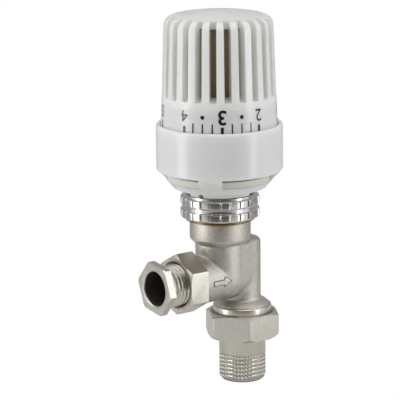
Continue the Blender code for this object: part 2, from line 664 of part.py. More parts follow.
def guide_core():
    """Fixed plastic core that carries the head: it guides the pin and keys the sensor."""
    bore = core_r - CORE_WALL
    seat = core_r + CORE_SEAT_STEP
    boss = core_r + CORE_BOSS_STEP
    guide = PIN_D / 2 + RUN
    groove = core_r - RING_GROOVE
    ring_low = ring_z0 - GAP / 2
    ring_high = ring_z0 + RING_T + GAP / 2
    floor_z1_core = core_floor_z0 + CORE_FLOOR_T
    core = turned("guide_core", [
        (core_upper_r, core_top), (core_r, core_top), (core_r, ring_high), (groove, ring_high),
        (groove, ring_low), (core_r, ring_low), (core_r, boss_top), (boss, boss_top),
        (boss, core_seat_z1), (seat, core_seat_z1), (seat, core_seat_z0),
        (core_r, core_seat_z0), (core_r, core_z0 + CORE_FLANGE_T),
        (core_flange_r, core_z0 + CORE_FLANGE_T), (core_flange_r, core_z0),
        (bore, core_z0), (bore, core_floor_z0), (guide, core_floor_z0), (guide, floor_z1_core),
        (core_upper_r, floor_z1_core)], ROUND, head_axis, WHITE_PLASTIC)
    slot_low = ring_z0 + RING_T + GAP
    tall = core_top + mm - slot_low
    for turn in (0, 180):
        name = f"key_slot_{turn}"
        cut(core, block(name, (6 * mm, KEY_W + 2 * RUN, tall),
                        (core_r, 0, slot_low + tall / 2), turn, head_axis))


def retaining_ring():
    """Split steel ring in the core's groove: it keeps the handwheel down."""
    inner = core_r - RING_GROOVE + GAP / 2
    outer = wheel_tube_r - GAP
    clip = ring("retaining_ring", inner, outer, ring_z0, ring_z0 + RING_T, ROUND, head_axis,
                STEEL)
    split = block("ring_split", (outer, 3 * mm, 3 * RING_T),
                  (outer, 0, ring_z0 + RING_T / 2), 90, head_axis)
    cut(clip, split)


def base_collar():
    """White shell round the foot of the head, vented by four windows in its cone."""
    side = collar_r
    cone = side - COLLAR_CONE_STEP
    bore = core_r + RUN
    foot = bore + COLLAR_FOOT_STEP
    lip_in = foot - COLLAR_WALL + 0.2 * mm
    knee = cone_z1 + 0.4 * COLLAR_WALL
    inner_cone_r = floor_z1 - cone_z0 + cone - 1.35 * COLLAR_WALL
    collar = turned("base_collar", [
        (collar_bore_r, rim_z), (side - COLLAR_RIM_ROUND, rim_z)]
        + arc(side - COLLAR_RIM_ROUND, rim_z - COLLAR_RIM_ROUND, COLLAR_RIM_ROUND, 60, 0, 2)
        + [(side, cone_z1), (cone, cone_z0), (foot, lip_z0 + COLLAR_LIP_H), (foot, lip_z0),
           (lip_in, lip_z0), (lip_in, floor_z0), (bore, floor_z0), (bore, floor_z1),
           (inner_cone_r, floor_z1), (collar_bore_r, knee)], FINE, head_axis, WHITE_PLASTIC)
    for mid in (45, 135, 225, 315):
        name = f"window_{mid}"
        low = cone_z0 + 0.42 * COLLAR_CONE_H
        high = cone_z1 - 0.06 * COLLAR_CONE_H
        spread = side - cone
        inner = cone + 0.42 * spread - WINDOW_DEPTH
        window = sector(name, inner, side + mm, low, high, mid + 45, WINDOW_ARC, head_axis)
        cut(collar, window)
    gap_arc = 180 - LIP_ARC
    for mid in (-37, 143):
        lip_gap = sector(f"lip_gap_{mid}", lip_in - mm, foot + 2 * mm, lip_z0 - mm,
                         lip_z0 + 0.6 * LIP_HANG, mid, gap_arc, head_axis)
        cut(collar, lip_gap)


# ================================================================ head, moving pieces
def handwheel():
    """White ribbed cap with the scale band, turned by hand, with the thread tube inside."""
    band = wheel_r
    wall = WHEEL_WALL
    corner_z = wheel_top - CROWN - CORNER_R
    roof = slot_z1 - wall
    edge = rib_top_r - CORNER_R
    cap = turned("handwheel", [(0, wheel_top), (edge / 2, wheel_top - CROWN / 4)]
                 + arc(edge, corner_z, CORNER_R, 90, 0, 6)
                 + [(rib_foot_r, slot_z0), (rib_foot_r + 0.3 * mm, slot_z0 - 0.4 * mm),
                    (band, rim_z), (band, wheel_z0), (band - wall, wheel_z0),
                    (band - wall, slot_z0 - 3 * wall), (rib_in_r, slot_z0 - wall),
                    (rib_in_r, roof), (wheel_tube_out_r, roof),
                    (wheel_tube_out_r, wheel_lip_z0), (core_r + RUN, wheel_lip_z0),
                    (core_r + RUN, wheel_lip_z1), (wheel_tube_r, wheel_lip_z1),
                    (wheel_tube_r, roof), (0, roof)],
                 FINE, head_axis, WHITE_PLASTIC)
    pitch = 360 / RIB_N
    depth = band + 2 * mm - (rib_in_r - mm)
    centre = (rib_in_r - mm + depth / 2, 0, (slot_z0 + slot_z1) / 2)
    for i in range(RIB_N):
        turn = pitch * (i + 0.1)
        cut(cap, block(f"slot_{i:02d}", (depth, SLOT_W, RIB_H), centre, turn, head_axis))


def sensor():
    """Keyed carrier with the wax capsule, its bellows, the pin and the overtravel spring."""
    pocket = cup_r
    floor_r = bellows_r + 0.8 * mm
    carrier = turned("sensor_carrier", [
        (pocket, carrier_top), (carrier_r, carrier_top), (carrier_r, carrier_z0),
        (carrier_in_r, carrier_z0), (carrier_in_r, carrier_floor_z0),
        (floor_r, carrier_floor_z0), (floor_r, carrier_floor_z1),
        (pocket, carrier_floor_z1)], ROUND, head_axis, GREY_PLASTIC)
    key_depth = 1.2 * mm
    tall = CARRIER_SKIRT / 2
    for turn in (0, 180):
        middle = carrier_in_r - key_depth / 2 + 0.3 * mm
        tongue = block(f"key_{turn}", (key_depth + 0.6 * mm, KEY_W, tall),
                       (middle, 0, carrier_z0 + 0.5 * mm + tall / 2), turn, head_axis)
        join(carrier, tongue)

    can = capsule_r
    crest = bellows_r
    hole = crest + GAP
    shell = CAPSULE_WALL
    turned("sensor_capsule", [
        (0, capsule_top), (can - shell, capsule_top), (can, capsule_top - shell),
        (can, capsule_z0), (hole, capsule_z0), (hole, capsule_z0 + shell),
        (can - shell, capsule_z0 + shell), (can - shell, capsule_top - shell),
        (0, capsule_top - shell)], ROUND, head_axis, COPPER)

    pitch = (BELLOWS_LEN - 2 * BELLOWS_WALL) / PLEAT_N
    outside = [(0, bellows_top), (crest - PLEAT, bellows_top)]
    inside = [(crest - PLEAT - BELLOWS_WALL, bellows_top - BELLOWS_WALL)]
    for i in range(PLEAT_N):
        level = bellows_top - BELLOWS_WALL - pitch * (i + 0.5)
        outside += [(crest, level), (crest - PLEAT, level - pitch / 2)]
        inside += [(crest - BELLOWS_WALL, level),
                   (crest - PLEAT - BELLOWS_WALL, level - pitch / 2)]
    base = [(crest - PLEAT, bellows_z0), (crest - PLEAT - BELLOWS_WALL, bellows_z0)]
    turned("bellows", outside + base + inside[::-1] + [(0, bellows_top - BELLOWS_WALL)],
           SMALL, head_axis, BRASS)

    pin = PIN_D / 2
    head = bellows_in_r - 2 * RUN
    turned("thrust_pin", [
        (0, pin_top), (head, pin_top), (head, pin_top - PIN_HEAD_T), (pin, pin_top - PIN_HEAD_T),
        (pin, pin_z0), (0, pin_z0)], SMALL, head_axis, WHITE_PLASTIC)
    coil("overtravel_spring", can - OVER_SPRING_IN, OVER_WIRE_R, over_z0,
         over_z0 + OVER_SPRING_LEN, 3, head_axis, STEEL)
    ring("spring_retainer", 3 * mm, pocket - GAP, retainer_z0, retainer_z0 + RETAINER_T, ROUND,
         head_axis, GREY_PLASTIC)


union_tail()
valve_body()
compression_inlet()
valve_insert()
coupling_nut()
guide_core()
retaining_ring()
base_collar()
handwheel()
sensor()
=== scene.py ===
# Thermostatic radiator valve, as it stands on a bench: every visible piece, from the tail up.
from math import atan2, cos, hypot, pi, radians, sin, sqrt
import bpy
from mathutils import Matrix, Vector


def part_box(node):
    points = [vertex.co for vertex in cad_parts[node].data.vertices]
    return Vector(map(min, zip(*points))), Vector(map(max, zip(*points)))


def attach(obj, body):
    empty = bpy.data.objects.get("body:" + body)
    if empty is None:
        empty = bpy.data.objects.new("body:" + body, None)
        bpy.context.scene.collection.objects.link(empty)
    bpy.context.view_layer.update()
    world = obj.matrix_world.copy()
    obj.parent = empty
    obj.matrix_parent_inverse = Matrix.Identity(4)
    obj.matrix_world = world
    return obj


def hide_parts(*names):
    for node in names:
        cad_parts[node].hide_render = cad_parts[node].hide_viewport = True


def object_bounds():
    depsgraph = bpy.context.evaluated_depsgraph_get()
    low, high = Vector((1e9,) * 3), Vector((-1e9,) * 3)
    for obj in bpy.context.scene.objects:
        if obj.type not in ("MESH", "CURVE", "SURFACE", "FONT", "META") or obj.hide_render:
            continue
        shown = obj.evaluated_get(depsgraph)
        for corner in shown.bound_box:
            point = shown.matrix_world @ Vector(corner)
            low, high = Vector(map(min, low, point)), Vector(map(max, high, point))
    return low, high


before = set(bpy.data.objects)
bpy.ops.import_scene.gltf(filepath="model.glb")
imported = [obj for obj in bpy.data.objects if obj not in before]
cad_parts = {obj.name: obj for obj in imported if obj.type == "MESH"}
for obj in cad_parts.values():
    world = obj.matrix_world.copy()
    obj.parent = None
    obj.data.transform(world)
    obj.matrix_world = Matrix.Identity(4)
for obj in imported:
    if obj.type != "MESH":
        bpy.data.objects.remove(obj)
cad_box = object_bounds()
mm = 0.001

# ---------------------------------------------------------------- camera, floor and light
# A long lens looks slightly down on the valve from its inlet side, over a pale sheet. The
# room is bright at the sides and dim before and behind, with tall soft boxes at the left
# and right and a wide one overhead.
LENS = 216.0                # mm, on a 36 mm film back
DISTANCE = 1.05
VIEW_TURN = -37.02          # degrees round from straight ahead
VIEW_DOWN = 13.02
VIEW_ROLL = -0.6
FLOOR_R = 0.17
target = Vector((-22.99 * mm, 0, 85.02 * mm))

# Brightness of the room, from straight beyond the valve (0) to behind the camera (1).
ROOM_TONES = ((0.47, 0.86), (0.62, 0.84), (0.8, 0.62), (0.9, 0.17))


def linear(code):
    """Colour for a shader from an sRGB hex code."""
    parts = [int(code[i:i + 2], 16) / 255 for i in (1, 3, 5)]
    curve = [p / 12.92 if p <= 0.04045 else ((p + 0.055) / 1.055) ** 2.4 for p in parts]
    return (*curve, 1.0)


def add_node(tree, kind, inputs=None, **settings):
    """Adds a node with its settings; inputs hold values or other nodes' outputs."""
    made = tree.nodes.new(kind)
    for key, value in settings.items():
        setattr(made, key, value)
    for key, value in (inputs or {}).items():
        if isinstance(value, bpy.types.NodeSocket):
            tree.links.new(value, made.inputs[key])
        else:
            made.inputs[key].default_value = value
    return made


def start_finish(name, **sockets):
    """New material whose Principled shader takes the constants given."""
    material = bpy.data.materials.new(name)
    material.use_nodes = True
    shader = material.node_tree.nodes["Principled BSDF"]
    for key, value in sockets.items():
        shader.inputs[key.replace("_", " ").title().replace("Ior", "IOR")].default_value = value
    return material, material.node_tree, shader


back = Vector((sin(radians(VIEW_TURN)) * cos(radians(VIEW_DOWN)),
               -cos(radians(VIEW_TURN)) * cos(radians(VIEW_DOWN)), sin(radians(VIEW_DOWN))))
camera_data = bpy.data.cameras.new("camera")
camera_data.lens = LENS
camera_data.sensor_width = 36.0
camera_data.clip_end = 20.0
camera = bpy.data.objects.new("camera", camera_data)
bpy.context.scene.collection.objects.link(camera)
camera.matrix_world = (Matrix.Translation(target + DISTANCE * back)
                       @ back.to_track_quat("Z", "Y").to_matrix().to_4x4()
                       @ Matrix.Rotation(radians(VIEW_ROLL), 4, "Z"))
bpy.context.scene.camera = camera

bpy.ops.object.select_all(action="DESELECT")
bpy.ops.mesh.primitive_circle_add(vertices=96, radius=FLOOR_R, fill_type="NGON",
                                  location=(0, 0, cad_box[0][2]))
floor = bpy.context.object
floor.name = "floor"
paper, tree, shader = start_finish("white_paper", roughness=0.9)
shader.inputs["Base Color"].default_value = linear("#e8e8e6")
seen = add_node(tree, "ShaderNodeLightPath")
clear = add_node(tree, "ShaderNodeEmission", {"Color": linear("#ffffff"), "Strength": 1.0})
mix = add_node(tree, "ShaderNodeMixShader", {0: seen.outputs["Is Camera Ray"],
                                             1: shader.outputs[0], 2: clear.outputs[0]})
tree.links.new(mix.outputs[0], tree.nodes["Material Output"].inputs["Surface"])
floor.data.materials.append(paper)

world = bpy.data.worlds.new("room")
bpy.context.scene.world = world
world.use_nodes = True
tree = world.node_tree
tree.nodes.clear()
way = add_node(tree, "ShaderNodeTexCoord")
facing = add_node(tree, "ShaderNodeVectorMath", {0: way.outputs["Generated"], 1: back},
                  operation="DOT_PRODUCT")
front = add_node(tree, "ShaderNodeMapRange", {"Value": facing.outputs["Value"],
                                              "From Min": -1.0, "From Max": 1.0})
shade = add_node(tree, "ShaderNodeValToRGB", {"Fac": front.outputs["Result"]})
ramp = shade.color_ramp
ramp.elements[0].position = 0.36
ramp.elements[0].color = (0.34, 0.34, 0.34, 1)
ramp.elements[1].position = 0.95
ramp.elements[1].color = (0.11, 0.1, 0.082, 1)
for spot, level in ROOM_TONES:
    ramp.elements.new(spot).color = (level * 0.99, level, level * 1.01, 1)
room = add_node(tree, "ShaderNodeBackground", {"Color": shade.outputs["Color"], "Strength": 1.18})
clear = add_node(tree, "ShaderNodeBackground", {"Color": linear("#ffffff"), "Strength": 1.0})
seen = add_node(tree, "ShaderNodeLightPath")
mix = add_node(tree, "ShaderNodeMixShader", {0: seen.outputs["Is Camera Ray"],
                                             1: room.outputs[0], 2: clear.outputs[0]})
add_node(tree, "ShaderNodeOutputWorld", {"Surface": mix.outputs[0]})


def soft_box(name, turn, rise, width, height, far, power):
    """Area light aimed at the valve, turned round from the camera's side."""
    lamp_data = bpy.data.lights.new(name, "AREA")
    lamp_data.shape = "RECTANGLE"
    lamp_data.size = width
    lamp_data.size_y = height
    lamp_data.energy = power
    lamp = bpy.data.objects.new(name, lamp_data)
    bpy.context.scene.collection.objects.link(lamp)
    heading = radians(VIEW_TURN - 90 + turn)
    way = Vector((cos(heading) * cos(radians(rise)), sin(heading) * cos(radians(rise)),
                  sin(radians(rise))))
    lamp.matrix_world = (Matrix.Translation(target + far * way)
                         @ way.to_track_quat("Z", "Y").to_matrix().to_4x4())


soft_box("left_box", -71, 6, 0.33, 1.0, 0.9, 2.7)
soft_box("right_box", 63, 6, 0.25, 1.0, 0.9, 1.7)
soft_box("top_box", 10, 68, 0.7, 0.7, 1.0, 1.6)

bpy.context.scene.view_settings.view_transform = "Standard"
bpy.context.scene.view_settings.look = "None"

# ---------------------------------------------------------------- tailpiece
# Turned brass tail, nickelled: it screws into the radiator with a half-inch pipe thread,
# whose crests are nicked so that hemp stays on them. A collar hides inside the union nut.
TAIL_R = 10.48 * mm
TAIL_COLLAR_R = 12.6 * mm
TAIL_BORE_R = 6.3 * mm
TAIL_THREAD_TOP = 12.7 * mm
TAIL_THREAD_LOW = 1.4 * mm
TAIL_COLLAR_H = 2.0 * mm
TAIL_PITCH = 1.814 * mm
TAIL_THREAD_DEPTH = 0.7 * mm
NICKS = 42
NICK_DEPTH = 0.55 * mm
FINE_STEPS = 144


def pick(*pieces):
    """Leaves only these pieces selected, the first of them active."""
    bpy.ops.object.select_all(action="DESELECT")
    for piece in pieces:
        piece.select_set(True)
    bpy.context.view_layer.objects.active = pieces[0] if pieces else None


def turned(name, outline, centre, steps=FINE_STEPS):
    """Spins an outline of (radius, height) points round an upright axis through centre."""
    pick()
    (r, z), x, y = outline[0], centre[0], centre[1]
    bpy.ops.mesh.primitive_plane_add(size=mm, location=(x + r, y, z))
    piece = bpy.context.object
    piece.name = name
    bpy.ops.object.transform_apply()
    bpy.ops.object.mode_set(mode="EDIT")
    bpy.ops.mesh.merge(type="CENTER")
    for (r0, z0), (r1, z1) in zip(outline, outline[1:]):
        bpy.ops.mesh.extrude_region_move(
            TRANSFORM_OT_translate={"value": (r1 - r0, 0, z1 - z0)})
    bpy.ops.mesh.select_all(action="SELECT")
    bpy.ops.mesh.spin(steps=steps, angle=2 * pi, center=(x, y, 0), axis=(0, 0, 1))
    bpy.ops.mesh.select_all(action="SELECT")
    bpy.ops.mesh.remove_doubles(threshold=0.001 * mm)
    bpy.ops.mesh.normals_make_consistent(inside=False)
    bpy.ops.object.mode_set(mode="OBJECT")
    return piece


def softened(outline, reach, steps=3):
    """The outline with its corners eased: each curve starts and ends at reach from one."""
    eased = [outline[0]]
    for before, corner, after in zip(outline, outline[1:], outline[2:]):
        ends = []
        for other in (before, after):
            length = hypot(other[0] - corner[0], other[1] - corner[1])
            share = min(reach, 0.4 * length) / length
            ends.append([c + share * (o - c) for c, o in zip(corner, other)])
        for i in range(steps + 1):
            t = i / steps
            eased.append(tuple((1 - t) ** 2 * a + 2 * t * (1 - t) * c + t * t * b
                               for a, c, b in zip(ends[0], corner, ends[1])))
    return eased + [outline[-1]]


def rows(r, low, high, count):
    """Even points up a straight wall, for a thread to be cut in."""
    return [(r, low + (high - low) * i / count) for i in range(count + 1)]


def cut_thread(piece, centre, crest, pitch, depth, low, high, nicks=0, nick_depth=0.0):
    """Sinks a helical groove in the wall of radius crest between two heights."""
    for point in piece.data.vertices:
        x, y, z = point.co.x - centre[0], point.co.y - centre[1], point.co.z
        r = hypot(x, y)
        if not (low <= z <= high and crest - 2 * depth < r):
            continue
        turn = atan2(y, x) / (2 * pi)
        wave = abs(2 * ((z / pitch - turn) % 1) - 1)
        fade = min(1, (high - z) / (0.7 * pitch), (z - low) / (0.4 * pitch))
        sunk = depth * min(1, max(0, 1.45 * wave - 0.25)) * fade
        nick = nick_depth * min(1, max(0, 1.6 - 4 * abs((turn * nicks) % 1 - 0.5))) * fade
        share = min(r, crest - max(sunk, nick)) / r
        point.co.x = centre[0] + x * share
        point.co.y = centre[1] + y * share


def complete(piece, material, body, slot, *nodes, crease=32):
    """Shades a piece, gives it its material and ties it to the frame."""
    pick(piece)
    bpy.ops.object.shade_smooth_by_angle(angle=radians(crease))
    piece.data.materials.clear()
    piece.data.materials.append(material)
    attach(piece, body)
    if nodes:
        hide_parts(*nodes)
    return piece


def mottled(name, dark, light, size, detail, gloss=None, **sockets):
    """New finish whose tone, and roughness between the two of gloss, drift in clouds of a size."""
    material, tree, shader = start_finish(name, **sockets)
    place = add_node(tree, "ShaderNodeTexCoord")
    cloud = add_node(tree, "ShaderNodeTexNoise", {"Vector": place.outputs["Object"],
                                                  "Scale": 1 / size, "Detail": detail})
    tint = add_node(tree, "ShaderNodeMix", {"Factor": cloud.outputs["Fac"], "A": linear(dark),
                                            "B": linear(light)}, data_type="RGBA")
    tree.links.new(tint.outputs["Result"], shader.inputs["Base Color"])
    if gloss:
        dull = add_node(tree, "ShaderNodeMapRange", {"Value": cloud.outputs["Fac"],
                                                     "To Min": gloss[0], "To Max": gloss[1]})
        tree.links.new(dull.outputs["Result"], shader.inputs["Roughness"])
    return material


# Turned nickel on brass: bright and warm, with faint water marks in the polish.
turned_nickel = mottled("turned_nickel", "#c0bbb0", "#dad6ce", 6 * mm, 4.0, (0.16, 0.26),
                        metallic=1.0)

tail_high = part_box("tailpiece")[1]
tail_axis = (0.0, 0.0)
collar_z = tail_high[2] - TAIL_COLLAR_H
outline = softened([(TAIL_COLLAR_R, tail_high[2]), (TAIL_COLLAR_R, collar_z), (TAIL_R, collar_z),
                    (TAIL_R, TAIL_THREAD_TOP + 0.2 * mm)], 0.2 * mm)
outline += rows(TAIL_R, TAIL_THREAD_TOP, TAIL_THREAD_LOW, 84)
outline += [(TAIL_R - 0.5 * mm, 0.75 * mm), (TAIL_R - 1.3 * mm, 0), (TAIL_BORE_R + 0.4 * mm, 0),
            (TAIL_BORE_R, 0.4 * mm), (TAIL_BORE_R, tail_high[2]), (TAIL_COLLAR_R, tail_high[2])]
tail = turned("tail_piece", outline, tail_axis, NICKS * 6)
cut_thread(tail, tail_axis, TAIL_R, TAIL_PITCH, TAIL_THREAD_DEPTH, 0, TAIL_THREAD_TOP,
           NICKS, NICK_DEPTH)
complete(tail, turned_nickel, "valve", "nickel_turned", "tailpiece", crease=120)

# ---------------------------------------------------------------- union nut
# Hexagon nut of nickelled brass, turned at both ends and left satin on its flats. It
# hangs on the tailpiece's collar and screws on the body's spigot.
UNION_ACROSS = 30.0 * mm
UNION_TURN = -27.0
UNION_BORE_R = 13.2 * mm
UNION_MOUTH = 1.5 * mm      # depth of the flared mouth
UNION_LIP = 2.2 * mm        # height of the lip that holds the tail's collar
TAIL_ROOM = 0.3 * mm        # play round the tail


def solid_hexagon(name, across, low, high, turn, centre, round_off):
    """Hexagonal bar between two heights, its six long edges eased."""
    pick()
    bpy.ops.mesh.primitive_cylinder_add(vertices=6, radius=across / sqrt(3), depth=high - low,
                                        location=(*centre, (low + high) / 2))
    bar = bpy.context.object
    bar.name = name
    bar.rotation_euler = (0, 0, radians(turn))
    bpy.ops.object.transform_apply()
    bpy.ops.object.mode_set(mode="EDIT")
    bpy.ops.mesh.select_all(action="DESELECT")
    bpy.ops.object.mode_set(mode="OBJECT")
    for edge in bar.data.edges:
        ends = [bar.data.vertices[i].co for i in edge.vertices]
        edge.select = hypot(ends[0].x - ends[1].x, ends[0].y - ends[1].y) < 0.01 * mm
    bpy.ops.object.mode_set(mode="EDIT")
    bpy.ops.mesh.select_mode(type="EDGE")
    bpy.ops.mesh.bevel(offset=round_off, segments=3)
    bpy.ops.mesh.select_mode(type="VERT")
    bpy.ops.object.mode_set(mode="OBJECT")
    return bar


def shape(piece, tool, operation):
    """Cuts, joins or intersects a piece with a tool, which is used up."""
    pick(piece)
    change = piece.modifiers.new("shape", "BOOLEAN")
    change.operation = operation
    change.solver = "EXACT"
    change.object = tool
    bpy.ops.object.modifier_apply(modifier=change.name)
    bpy.data.objects.remove(tool)


def pebbled(material, size, detail, strength, depth):
    """Adds a fine irregular relief to a finish."""
    tree = material.node_tree
    place = add_node(tree, "ShaderNodeTexCoord")
    grain = add_node(tree, "ShaderNodeTexNoise", {"Vector": place.outputs["Object"],
                                                  "Scale": 1 / size, "Detail": detail})
    relief = add_node(tree, "ShaderNodeBump", {"Height": grain.outputs["Fac"],
                                               "Strength": strength, "Distance": depth})
    tree.links.new(relief.outputs["Normal"], tree.nodes["Principled BSDF"].inputs["Normal"])


# Machined nickel flats: satin, with small uneven patches in the plating and a fine tooth,
# which is drawn coarser than the real one so that it shows.
flat_nickel = mottled("machined_nickel", "#c5c0b6", "#dedad3", 1.3 * mm, 5.0, (0.26, 0.4),
                      metallic=1.0)
pebbled(flat_nickel, 0.3 * mm, 3.0, 0.35, 0.03 * mm)

union_low, union_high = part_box("union_nut")
corner = UNION_ACROSS / sqrt(3)
low, high = union_low[2], union_high[2]
union_nut = turned("union_hexagon_nut", softened([
    (UNION_BORE_R, high - UNION_MOUTH), (UNION_BORE_R + 1.1 * mm, high), (corner - 2.5 * mm, high),
    (corner + 0.3 * mm, high - 1.7 * mm), (corner + 0.3 * mm, low + 2.3 * mm),
    (corner - 1.8 * mm, low + 0.3 * mm), (corner - 3.0 * mm, low), (TAIL_R + 0.5 * mm, low),
    (TAIL_R + TAIL_ROOM, low + 0.3 * mm), (TAIL_R + TAIL_ROOM, low + UNION_LIP),
    (UNION_BORE_R, low + UNION_LIP), (UNION_BORE_R, high - UNION_MOUTH)], 0.25 * mm), tail_axis)
shape(union_nut, solid_hexagon("bar", UNION_ACROSS, low - mm, high + mm, UNION_TURN, tail_axis,
                               0.45 * mm), "INTERSECT")
complete(union_nut, flat_nickel, "tail_nut", "nickel_turned", "union_nut")

# ---------------------------------------------------------------- valve body
# Hot-pressed brass, blasted and nickel plated: a column under the head, an inlet barrel
# and a tail tube, run together with soft fillets. The ring over the union nut is turned
# bright, and a flow arrow stands out of the barrel's side.
HEAD_X = -12.0 * mm
PORT_Z = 49.0 * mm
CHAMBER_R = 11.1 * mm
NECK_FOOT = 64.5 * mm
SEAT_Z = 58.1 * mm          # the plug closes on this ledge
NECK_R = 13.5 * mm
TUBE_R = 8.4 * mm
TUBE_TOP = 65.0 * mm
BARREL_R = 10.6 * mm
BARREL_END = 15.7 * mm      # from the head's axis, where the socket's hexagon starts
SPIGOT_R = 13.05 * mm
RING_TOP = 34.6 * mm
FLARE_R = 12.3 * mm
WAIST_DOWN = 0.9 * mm       # the waist's top below the tube's
SOCKET_BORE_R = 7.6 * mm
INLET_BORE_R = 6.5 * mm
CHAMBER_BORE_R = 9.8 * mm
SEAT_R = 4.5 * mm
WATERWAY_R = 5.6 * mm
WATERWAY_DOWN = 4.0 * mm    # its ends, below the ring's top and below the tube's
NECK_BORE_R = 10.2 * mm
SPIGOT_FOOT = 26.1 * mm
SPIGOT_BORE_R = 5.7 * mm
VOXEL = 0.34 * mm
EASE_STEPS = 50             # they round the edges of the casting
ARROW_LIFT = 0.32 * mm
ARROW_EDGE = 0.5 * mm
ARROW_GRID = 0.45           # mm between the cuts that let the arrow follow the barrel
ARROW_START = (-24.2, 46.4)
ARROW_CUTS = (24, 13)       # along and up
# The arrow's outline, seen from the side: places along and heights in mm.
ARROW = ((-24.0, 47.6), (-18.2, 47.8), (-18.0, 46.4), (-13.7, 49.3), (-17.3, 51.9), (-18.2, 50.5),
         (-24.0, 50.4))
head_axis = (HEAD_X, 0.0)


def arc(centre_r, centre_z, radius, start, end, count):
    """Points on an arc of an outline, between two angles in degrees."""
    angles = [radians(start + (end - start) * i / count) for i in range(count + 1)]
    return [(centre_r + radius * cos(a), centre_z + radius * sin(a)) for a in angles]


def lay_down(piece):
    """Turns a piece modelled round the origin so that its height runs out along the inlet."""
    pick(piece)
    piece.rotation_euler = (0, -pi / 2, 0)
    piece.location = (HEAD_X, 0, PORT_Z)
    bpy.ops.object.transform_apply()


casting = turned("body_casting", [
    (0, NECK_FOOT + mm), (CHAMBER_R, NECK_FOOT + mm), (CHAMBER_R, PORT_Z)]
    + arc(0, PORT_Z, CHAMBER_R, 0, -90, 12)[1:], head_axis, 96)
tube = turned("tube", [(0, TUBE_TOP)] + arc(TUBE_R - 1.8 * mm, TUBE_TOP - 1.8 * mm, 1.8 * mm, 90, 0, 5)
              + [(TUBE_R, RING_TOP + 2.7 * mm), (TUBE_R + 2.1 * mm, RING_TOP + 1.7 * mm),
                 (FLARE_R, RING_TOP + 0.3 * mm), (FLARE_R, RING_TOP - 2 * mm),
                 (0, RING_TOP - 2 * mm)], tail_axis, 90)
barrel = turned("barrel", [(0, BARREL_END + 0.6 * mm), (BARREL_R, BARREL_END + 0.6 * mm),
                           (BARREL_R, 0), (0, 0)], (0, 0), 84)
lay_down(barrel)
pick()
ends = []
for x, r in ((HEAD_X, CHAMBER_R - 0.1 * mm), (0, TUBE_R - 0.1 * mm)):
    bpy.ops.mesh.primitive_uv_sphere_add(segments=56, ring_count=28, radius=r,
                                         location=(x, 0, PORT_Z))
    ends.append(bpy.context.object)
    bpy.ops.mesh.primitive_circle_add(vertices=76, radius=r, location=(x, 0, TUBE_TOP - WAIST_DOWN))
    ends.append(bpy.context.object)
pick(*ends)
bpy.ops.object.join()
waist = bpy.context.object
bpy.ops.object.transform_apply()
bpy.ops.object.mode_set(mode="EDIT")
bpy.ops.mesh.select_all(action="SELECT")
bpy.ops.mesh.convex_hull()
bpy.ops.object.mode_set(mode="OBJECT")
for part in (tube, barrel, waist):
    shape(casting, part, "UNION")
bore = turned("bore", [(0, BARREL_END + 2 * mm), (SOCKET_BORE_R, BARREL_END + 2 * mm),
                       (SOCKET_BORE_R, 13 * mm), (INLET_BORE_R, 12.6 * mm), (INLET_BORE_R, 0),
                       (0, -2 * mm)], (0, 0), 60)
lay_down(bore)
shape(casting, bore, "DIFFERENCE")
bore = turned("bore", [(0, NECK_FOOT + 2 * mm), (CHAMBER_BORE_R, NECK_FOOT + 2 * mm),
                       (CHAMBER_BORE_R, SEAT_Z), (SEAT_R, SEAT_Z), (SEAT_R, PORT_Z), (0, PORT_Z)],
              head_axis, 60)
shape(casting, bore, "DIFFERENCE")
high, low = TUBE_TOP - WATERWAY_DOWN, RING_TOP - WATERWAY_DOWN
bore = turned("bore", [(0, high), (WATERWAY_R, high), (WATERWAY_R, low), (0, low)], tail_axis, 60)
shape(casting, bore, "DIFFERENCE")
pick(casting)
knit = casting.modifiers.new("knit", "REMESH")
knit.mode = "VOXEL"
knit.voxel_size = VOXEL
bpy.ops.object.modifier_apply(modifier=knit.name)
ease = casting.modifiers.new("ease", "SMOOTH")
ease.factor = 0.5
ease.iterations = EASE_STEPS
bpy.ops.object.modifier_apply(modifier=ease.name)

# Blasted nickel: slightly warm, paler where the blast lay thick, with an even grain that is
# drawn coarser than the real grit so that it shows.
blasted_nickel = mottled("blasted_nickel", "#aca69b", "#dddad4", 1.1 * mm, 6.0, (0.42, 0.52),
                         metallic=1.0)
pebbled(blasted_nickel, 0.4 * mm, 2.0, 0.9, 0.12 * mm)
complete(casting, blasted_nickel, "valve", "nickel_body", "valve_body", crease=60)

neck_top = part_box("valve_body")[1][2]
neck = turned("body_neck", softened([
    (NECK_BORE_R, neck_top), (NECK_R, neck_top), (NECK_R, NECK_FOOT + 2.3 * mm),
    (NECK_R - 2.3 * mm, NECK_FOOT), (NECK_BORE_R, NECK_FOOT), (NECK_BORE_R, neck_top)],
    0.8 * mm, 4), head_axis)
complete(neck, blasted_nickel, "valve", "nickel_body", "valve_body")
spigot = turned("body_spigot", softened([
    (SPIGOT_BORE_R, RING_TOP), (SPIGOT_R - 0.5 * mm, RING_TOP), (SPIGOT_R, RING_TOP - 0.5 * mm),
    (SPIGOT_R, SPIGOT_FOOT), (SPIGOT_BORE_R, SPIGOT_FOOT), (SPIGOT_BORE_R, RING_TOP)],
    0.2 * mm), tail_axis)
complete(spigot, turned_nickel, "valve", "nickel_turned", "valve_body")

# Nickel darkened at the foot of a raised mark: painted shade round the arrow's edge.
arrow_foot_shade_nickel = mottled("painted_shade_nickel", "#625e55", "#7f7a70", 0.8 * mm, 3.0, metallic=1.0,
                      roughness=0.6)

